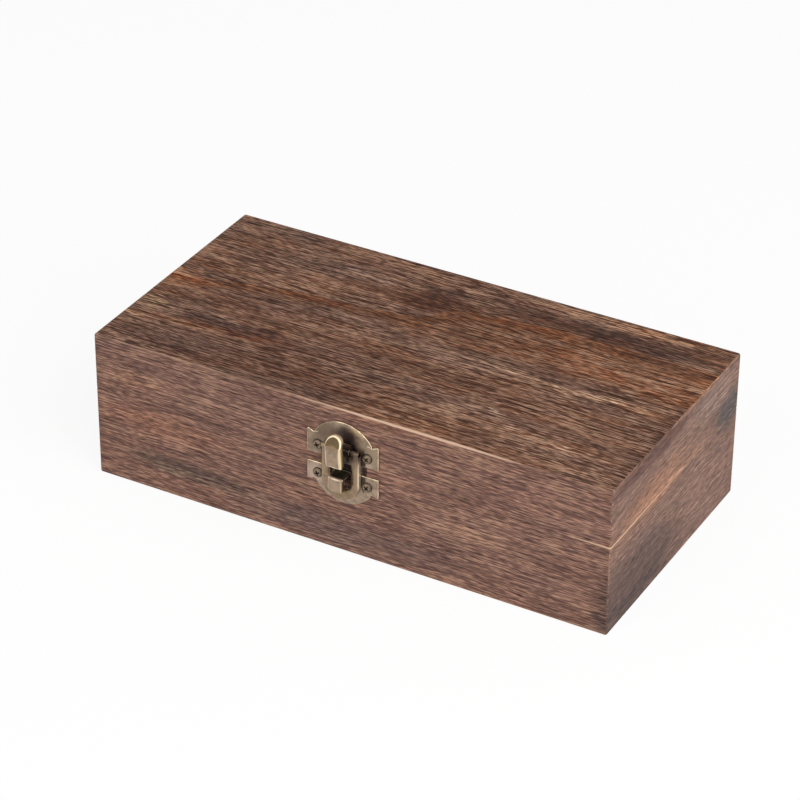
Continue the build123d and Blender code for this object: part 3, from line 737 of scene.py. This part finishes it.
def screwSpots(node):
    # Where each screw of a CAD node stands: the middle of its head, found from the node's loose shells
    shape = bmesh.new()
    shape.from_mesh(cadNodes[node].data)
    bmesh.ops.remove_doubles(shape, verts=shape.verts[:], dist=weld)
    left, spots = set(shape.verts), []
    while left:
        shell, edge = set(), {left.pop()}
        while edge:
            shell |= edge
            edge = {line.other_vert(v) for v in edge for line in v.link_edges} - shell
        left -= shell
        low = [min(v.co[i] for v in shell) for i in range(3)]
        high = [max(v.co[i] for v in shell) for i in range(3)]
        spots.append([(a + b) / 2 for a, b in zip(low, high)])
    shape.free()
    return sorted(spots)


def setScrews(node, head, seat, outward):
    # seat is the depth of the plate's face, outward is -1 on the front and 1 on the back
    shape = bmesh.new()
    for i, spot in enumerate(screwSpots(node)):
        before = set(shape.verts)
        shape.from_mesh(head)
        added = [v for v in shape.verts if v not in before]
        turn = Matrix.Rotation(math.radians(firstTurn + nextTurn * i), 3, "Z")
        stand = Matrix.Rotation(-outward * math.pi / 2, 3, "X")
        bmesh.ops.rotate(shape, verts=added, cent=(0, 0, 0), matrix=stand @ turn)
        bmesh.ops.translate(shape, verts=added, vec=(spot[0], seat, spot[2]))
    for face in shape.faces:
        face.smooth = True
    for line in shape.edges:
        line.smooth = not line.is_manifold or line.calc_face_angle() < headSharp
    mesh = bpy.data.meshes.new(node + "_heads")
    shape.to_mesh(mesh)
    shape.free()
    piece = standFor(mesh, node + "_heads", node)
    piece.data.materials.append(screwMetal)
    piece.data.materials.append(crossShade)


def screwFinish(group):
    # Painted shade in the cross and round the foot of the head, rubbed on the crown
    material, tree, shader = newMaterial("antique brass, screws")
    spot, normal = surface(tree)
    marks = callGroup(tree, group, Place=spot, Scratched=brass["scratched"])
    across = calc(tree, "ABSOLUTE", normal[1])
    out = calc(tree, "SUBTRACT", calc(tree, "ABSOLUTE", split(tree, spot)[1]), boxCorner.y / mm)
    colour = tint(tree, marks["Tone"], (0.090, 0.065, 0.044, 1), (0.19, 0.138, 0.092, 1))
    crown = times(tree, fade(tree, across, 0.86, 0.98), fade(tree, out, 1.30, 1.55))
    colour = tint(tree, times(tree, crown, 0.5), colour, rubbedAndHighlitBrass["dull"])
    # Painted shadow round the foot of the head
    footShade = fade(tree, across, 0.62, 0.30)
    colour = tint(tree, times(tree, footShade, 0.9), colour, (0.022, 0.015, 0.010, 1))
    feed(tree, shader.inputs["Base Color"], colour)
    feed(tree, shader.inputs["Roughness"], calc(tree, "MULTIPLY_ADD", marks["Spots"], 0.2, 0.36))
    shader.inputs["Metallic"].default_value = brass["metal"]
    bump = addNode(tree, "Bump", {"Height": marks["Height"], "Strength": 0.3, "Distance": 0.02 * mm})
    feed(tree, shader.inputs["Normal"], bump.outputs[0])
    return material


# Nearly black: painted shade in the deep cross of each screw
def paintedShade(group):
    material, tree, shader = newMaterial("dirt in the screws' crosses")
    marks = callGroup(tree, group, Place=surface(tree)[0], Scratched=0.0)
    colour = tint(tree, marks["Tone"], (0.009, 0.006, 0.004, 1), (0.030, 0.021, 0.014, 1))
    feed(tree, shader.inputs["Base Color"], colour)
    feed(tree, shader.inputs["Roughness"], calc(tree, "MULTIPLY_ADD", marks["Spots"], 0.1, 0.75))
    shader.inputs["Specular IOR Level"].default_value = 0.2
    return material


screwMetal = screwFinish(tarnish)
crossShade = paintedShade(tarnish)
latchHead, hingeHead = crossHead(latchScrew), crossHead(hingeScrew)
plateFace, leafFace = -boxCorner.y - plateThickness, boxCorner.y + leafThickness
setScrews("latch_lid_screws", latchHead, plateFace, -1)
setScrews("latch_base_screws", latchHead, plateFace, -1)
setScrews("hinge_lid_screws", hingeHead, leafFace, 1)
setScrews("hinge_base_screws", hingeHead, leafFace, 1)
print("screws finished")


# Floor, lights and camera

# floorShare is how much of the white of the floor in view is lit, and so takes shadows. The rest glows.
studio = {
    "floorColour": (0.80, 0.80, 0.80, 1), "floorShare": 0.14, "floorSize": 8.0, "skyStrength": 0.3,
    "key": {"azimuth": 62, "elevation": 36, "distance": 1.5, "size": 1.3, "power": 16.0},
    "fill": {"azimuth": -14, "elevation": 30, "distance": 1.6, "size": 1.2, "power": 5.5},
}


def seenWhite(tree):
    # Rays that should find the white backdrop itself
    ray = addNode(tree, "LightPath").outputs
    either = calc(tree, "MAXIMUM", ray["Is Camera Ray"], ray["Is Glossy Ray"])
    return calc(tree, "MAXIMUM", either, ray["Is Transmission Ray"])


def layFloor():
    shape = bmesh.new()
    bmesh.ops.create_grid(shape, x_segments=1, y_segments=1, size=studio["floorSize"] / 2)
    mesh = bpy.data.meshes.new("floor")
    shape.to_mesh(mesh)
    shape.free()
    floor = bpy.data.objects.new("floor", mesh)
    bpy.context.scene.collection.objects.link(floor)
    material, tree, shader = newMaterial("pale floor")
    shader.inputs["Base Color"].default_value = studio["floorColour"]
    shader.inputs["Roughness"].default_value = 0.9
    shader.inputs["Specular IOR Level"].default_value = 0.1
    dim = addNode(tree, "BsdfDiffuse", {"Color": (studio["floorShare"],) * 3 + (1,)})
    lit = studio["floorColour"][0] * studio["floorShare"]  # how bright the shadow-catching share comes out
    glow = addNode(tree, "Emission", {"Color": (1, 1, 1, 1), "Strength": 1 - lit})
    paper = addNode(tree, "AddShader", {0: dim.outputs[0], 1: glow.outputs[0]})
    chosen = addNode(tree, "MixShader", {0: seenWhite(tree), 1: shader.outputs[0], 2: paper.outputs[0]})
    tree.links.new(chosen.outputs[0], tree.nodes["Material Output"].inputs[0])
    mesh.materials.append(material)


def lightSky():
    world = bpy.data.worlds.new("studio")
    world.use_nodes = True
    tree = world.node_tree
    soft = tree.nodes["Background"]
    soft.inputs["Color"].default_value = (1, 1, 1, 1)
    soft.inputs["Strength"].default_value = studio["skyStrength"]
    white = addNode(tree, "Background", {"Color": (1, 1, 1, 1), "Strength": 1.0})
    chosen = addNode(tree, "MixShader", {0: seenWhite(tree), 1: soft.outputs[0], 2: white.outputs[0]})
    tree.links.new(chosen.outputs[0], tree.nodes["World Output"].inputs[0])
    bpy.context.scene.world = world


def direction(azimuth, elevation):
    a, e = math.radians(azimuth), math.radians(elevation)
    return Vector((math.sin(a) * math.cos(e), -math.cos(a) * math.cos(e), math.sin(e)))


def hangLight(name):
    lamp = bpy.data.lights.new(name, "AREA")
    lamp.energy = studio[name]["power"]
    lamp.size = studio[name]["size"]
    away = direction(studio[name]["azimuth"], studio[name]["elevation"])
    holder = bpy.data.objects.new(name, lamp)
    holder.location = away * studio[name]["distance"]
    holder.rotation_mode = "QUATERNION"
    holder.rotation_quaternion = (-away).to_track_quat("-Z", "Y")
    bpy.context.scene.collection.objects.link(holder)


# Fitted to the box's corners in the photo. Degrees, mm of lens on a 36 mm film, metres.
photoCamera = {"azimuth": 28.99, "elevation": 31.92, "roll": 0.46, "lens": 145.04, "film": 36.0,
               "place": (0.4576, -0.8371, 0.6281)}


def setCamera():
    back = direction(photoCamera["azimuth"], photoCamera["elevation"])
    a, roll = math.radians(photoCamera["azimuth"]), math.radians(photoCamera["roll"])
    right = Vector((math.cos(a), math.sin(a), 0))
    up = back.cross(right)
    rolledRight = math.cos(roll) * right + math.sin(roll) * up
    rolledUp = math.cos(roll) * up - math.sin(roll) * right
    data = bpy.data.cameras.new("camera")
    data.lens = photoCamera["lens"]
    data.sensor_width = photoCamera["film"]
    holder = bpy.data.objects.new("camera", data)
    turn = Matrix((rolledRight, rolledUp, back)).transposed()
    holder.matrix_world = Matrix.Translation(photoCamera["place"]) @ turn.to_4x4()
    bpy.context.scene.collection.objects.link(holder)
    bpy.context.scene.camera = holder


layFloor()
lightSky()
hangLight("key")
hangLight("fill")
setCamera()
bpy.context.scene.view_settings.view_transform = "Standard"
print("studio ready")
